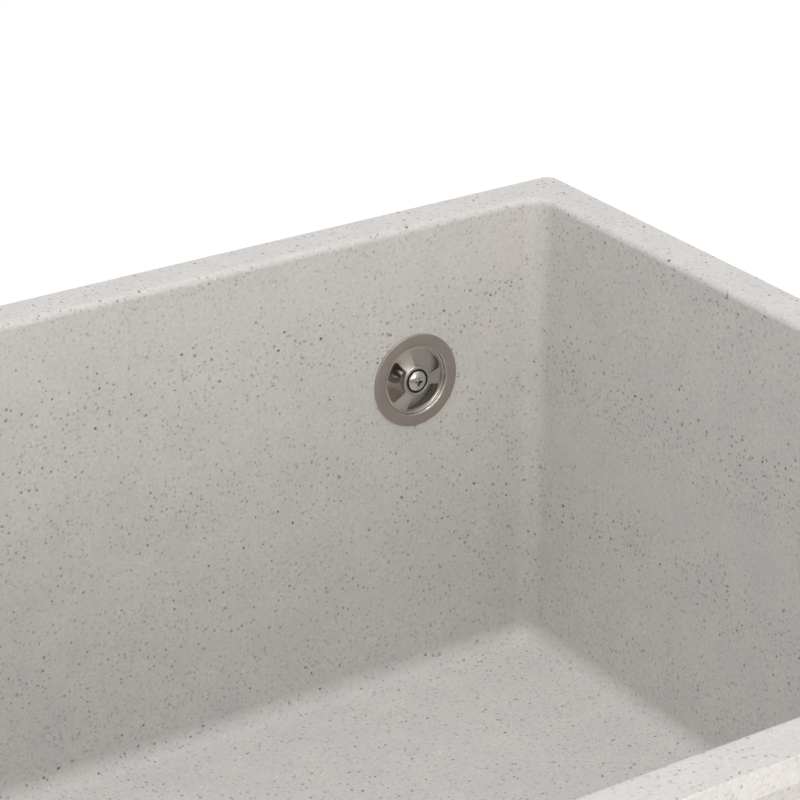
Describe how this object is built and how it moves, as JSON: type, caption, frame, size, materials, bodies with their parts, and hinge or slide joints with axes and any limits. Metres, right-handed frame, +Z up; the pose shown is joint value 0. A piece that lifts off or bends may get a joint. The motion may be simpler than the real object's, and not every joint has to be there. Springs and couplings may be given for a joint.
{
  "type": "undermount kitchen sink",
  "caption": "Rectangular undermount composite sink bowl with a round overflow cover, ribbed overflow hose, basket strainer waste and hanger brackets.",
  "frame": {"origin": "centre of the rim's flat top face, where the worktop's underside lies", "axes": "+Z up through the worktop, +X along the sink's long side, +Y towards the wall with the overflow"},
  "size_m": [0.58, 0.4812, 0.3037],
  "materials": {
    "composite": "fine matt moulded quartz composite, off-white with small dark speckles",
    "satin_nickel": "plated, satin flange and polished dish",
    "bright_steel": "bright machined",
    "stainless": "pressed and brushed",
    "zinc_plate": "zinc plated",
    "brass": "turned",
    "black_rubber": "matt",
    "grey_plastic": "moulded, slightly grained",
    "light_plastic": "smooth moulded, light grey",
    "dark_plastic": "moulded, slightly grained",
    "hose_plastic": "ribbed, flexible",
    "knob_plastic": "smooth moulded"
  },
  "bodies": {
    "root": {"bowl": "composite", "lug_inserts": "brass", "hanger_brackets": "zinc_plate", "bracket_washers": "zinc_plate", "bracket_screws": "zinc_plate", "overflow_cover": "satin_nickel", "overflow_screw": "bright_steel", "overflow_gasket": "black_rubber", "overflow_body": "light_plastic", "overflow_insert": "brass", "upper_hose_seal": "black_rubber", "upper_hose_nut": "dark_plastic", "upper_hose_cuff": "hose_plastic", "overflow_hose": "hose_plastic", "lower_hose_cuff": "hose_plastic", "lower_hose_nut": "dark_plastic", "lower_hose_seal": "black_rubber", "strainer_cup": "stainless", "strainer_seal": "black_rubber", "waste_gasket": "black_rubber", "waste_body": "grey_plastic", "waste_insert": "brass", "clamp_screw": "bright_steel"},
    "basket": {"basket": "stainless"},
    "stopper": {"stopper_post": "bright_steel", "stopper_knob": "knob_plastic", "stopper_plate": "stainless", "stopper_seal": "black_rubber", "stopper_nut": "bright_steel"}
  },
  "joints": [
    {"name": "basket_lift", "type": "slide", "parent": "root", "child": "basket", "axis": [0, 0, 1], "range_m": [0, 0.26]},
    {"name": "stopper_lift", "type": "slide", "parent": "basket", "child": "stopper", "axis": [0, 0, 1], "range_m": [0, 0.006]}
  ]
}
